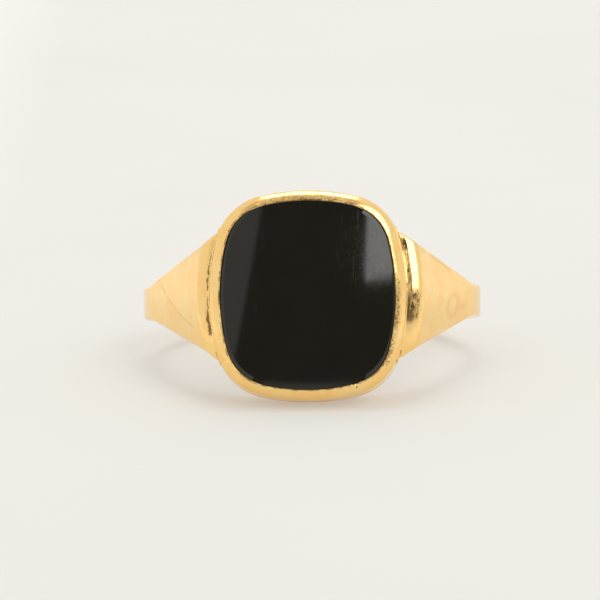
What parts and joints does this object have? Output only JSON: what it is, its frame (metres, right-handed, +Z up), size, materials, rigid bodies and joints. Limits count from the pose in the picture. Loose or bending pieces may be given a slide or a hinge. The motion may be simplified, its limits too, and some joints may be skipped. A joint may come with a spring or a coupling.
{
  "type": "signet ring",
  "caption": "Yellow gold signet ring with a cushion-shaped buff-top black onyx in a rub-over setting, ridged tapering shoulders and a narrow shank.",
  "frame": {"origin": "centre of the finger hole, on its axis and midway along the finger", "axes": "the ring lies on its side as it rests on a table: +Z up from the table, -Y out of the face (which tips up by about 15 degrees), X across the face; the finger hole's axis is +Z leaned about 15 degrees towards +Y"},
  "size_m": [0.0214, 0.0247, 0.0132],
  "materials": {
    "gold": null,
    "gold_solder": "polished gold solder, a shade paler than the ring",
    "onyx": "high polish, buff top"
  },
  "bodies": {
    "root": {"onyx_stone": "onyx", "bezel_collet": "gold", "bearer_ring": "gold", "under_gallery": "gold", "left_shoulder": "gold", "right_shoulder": "gold", "shank": "gold", "collet_seam_solder": "gold_solder", "collet_base_solder": "gold_solder", "left_head_solder": "gold_solder", "right_head_solder": "gold_solder", "left_shank_solder": "gold_solder", "right_shank_solder": "gold_solder"}
  },
  "joints": []
}
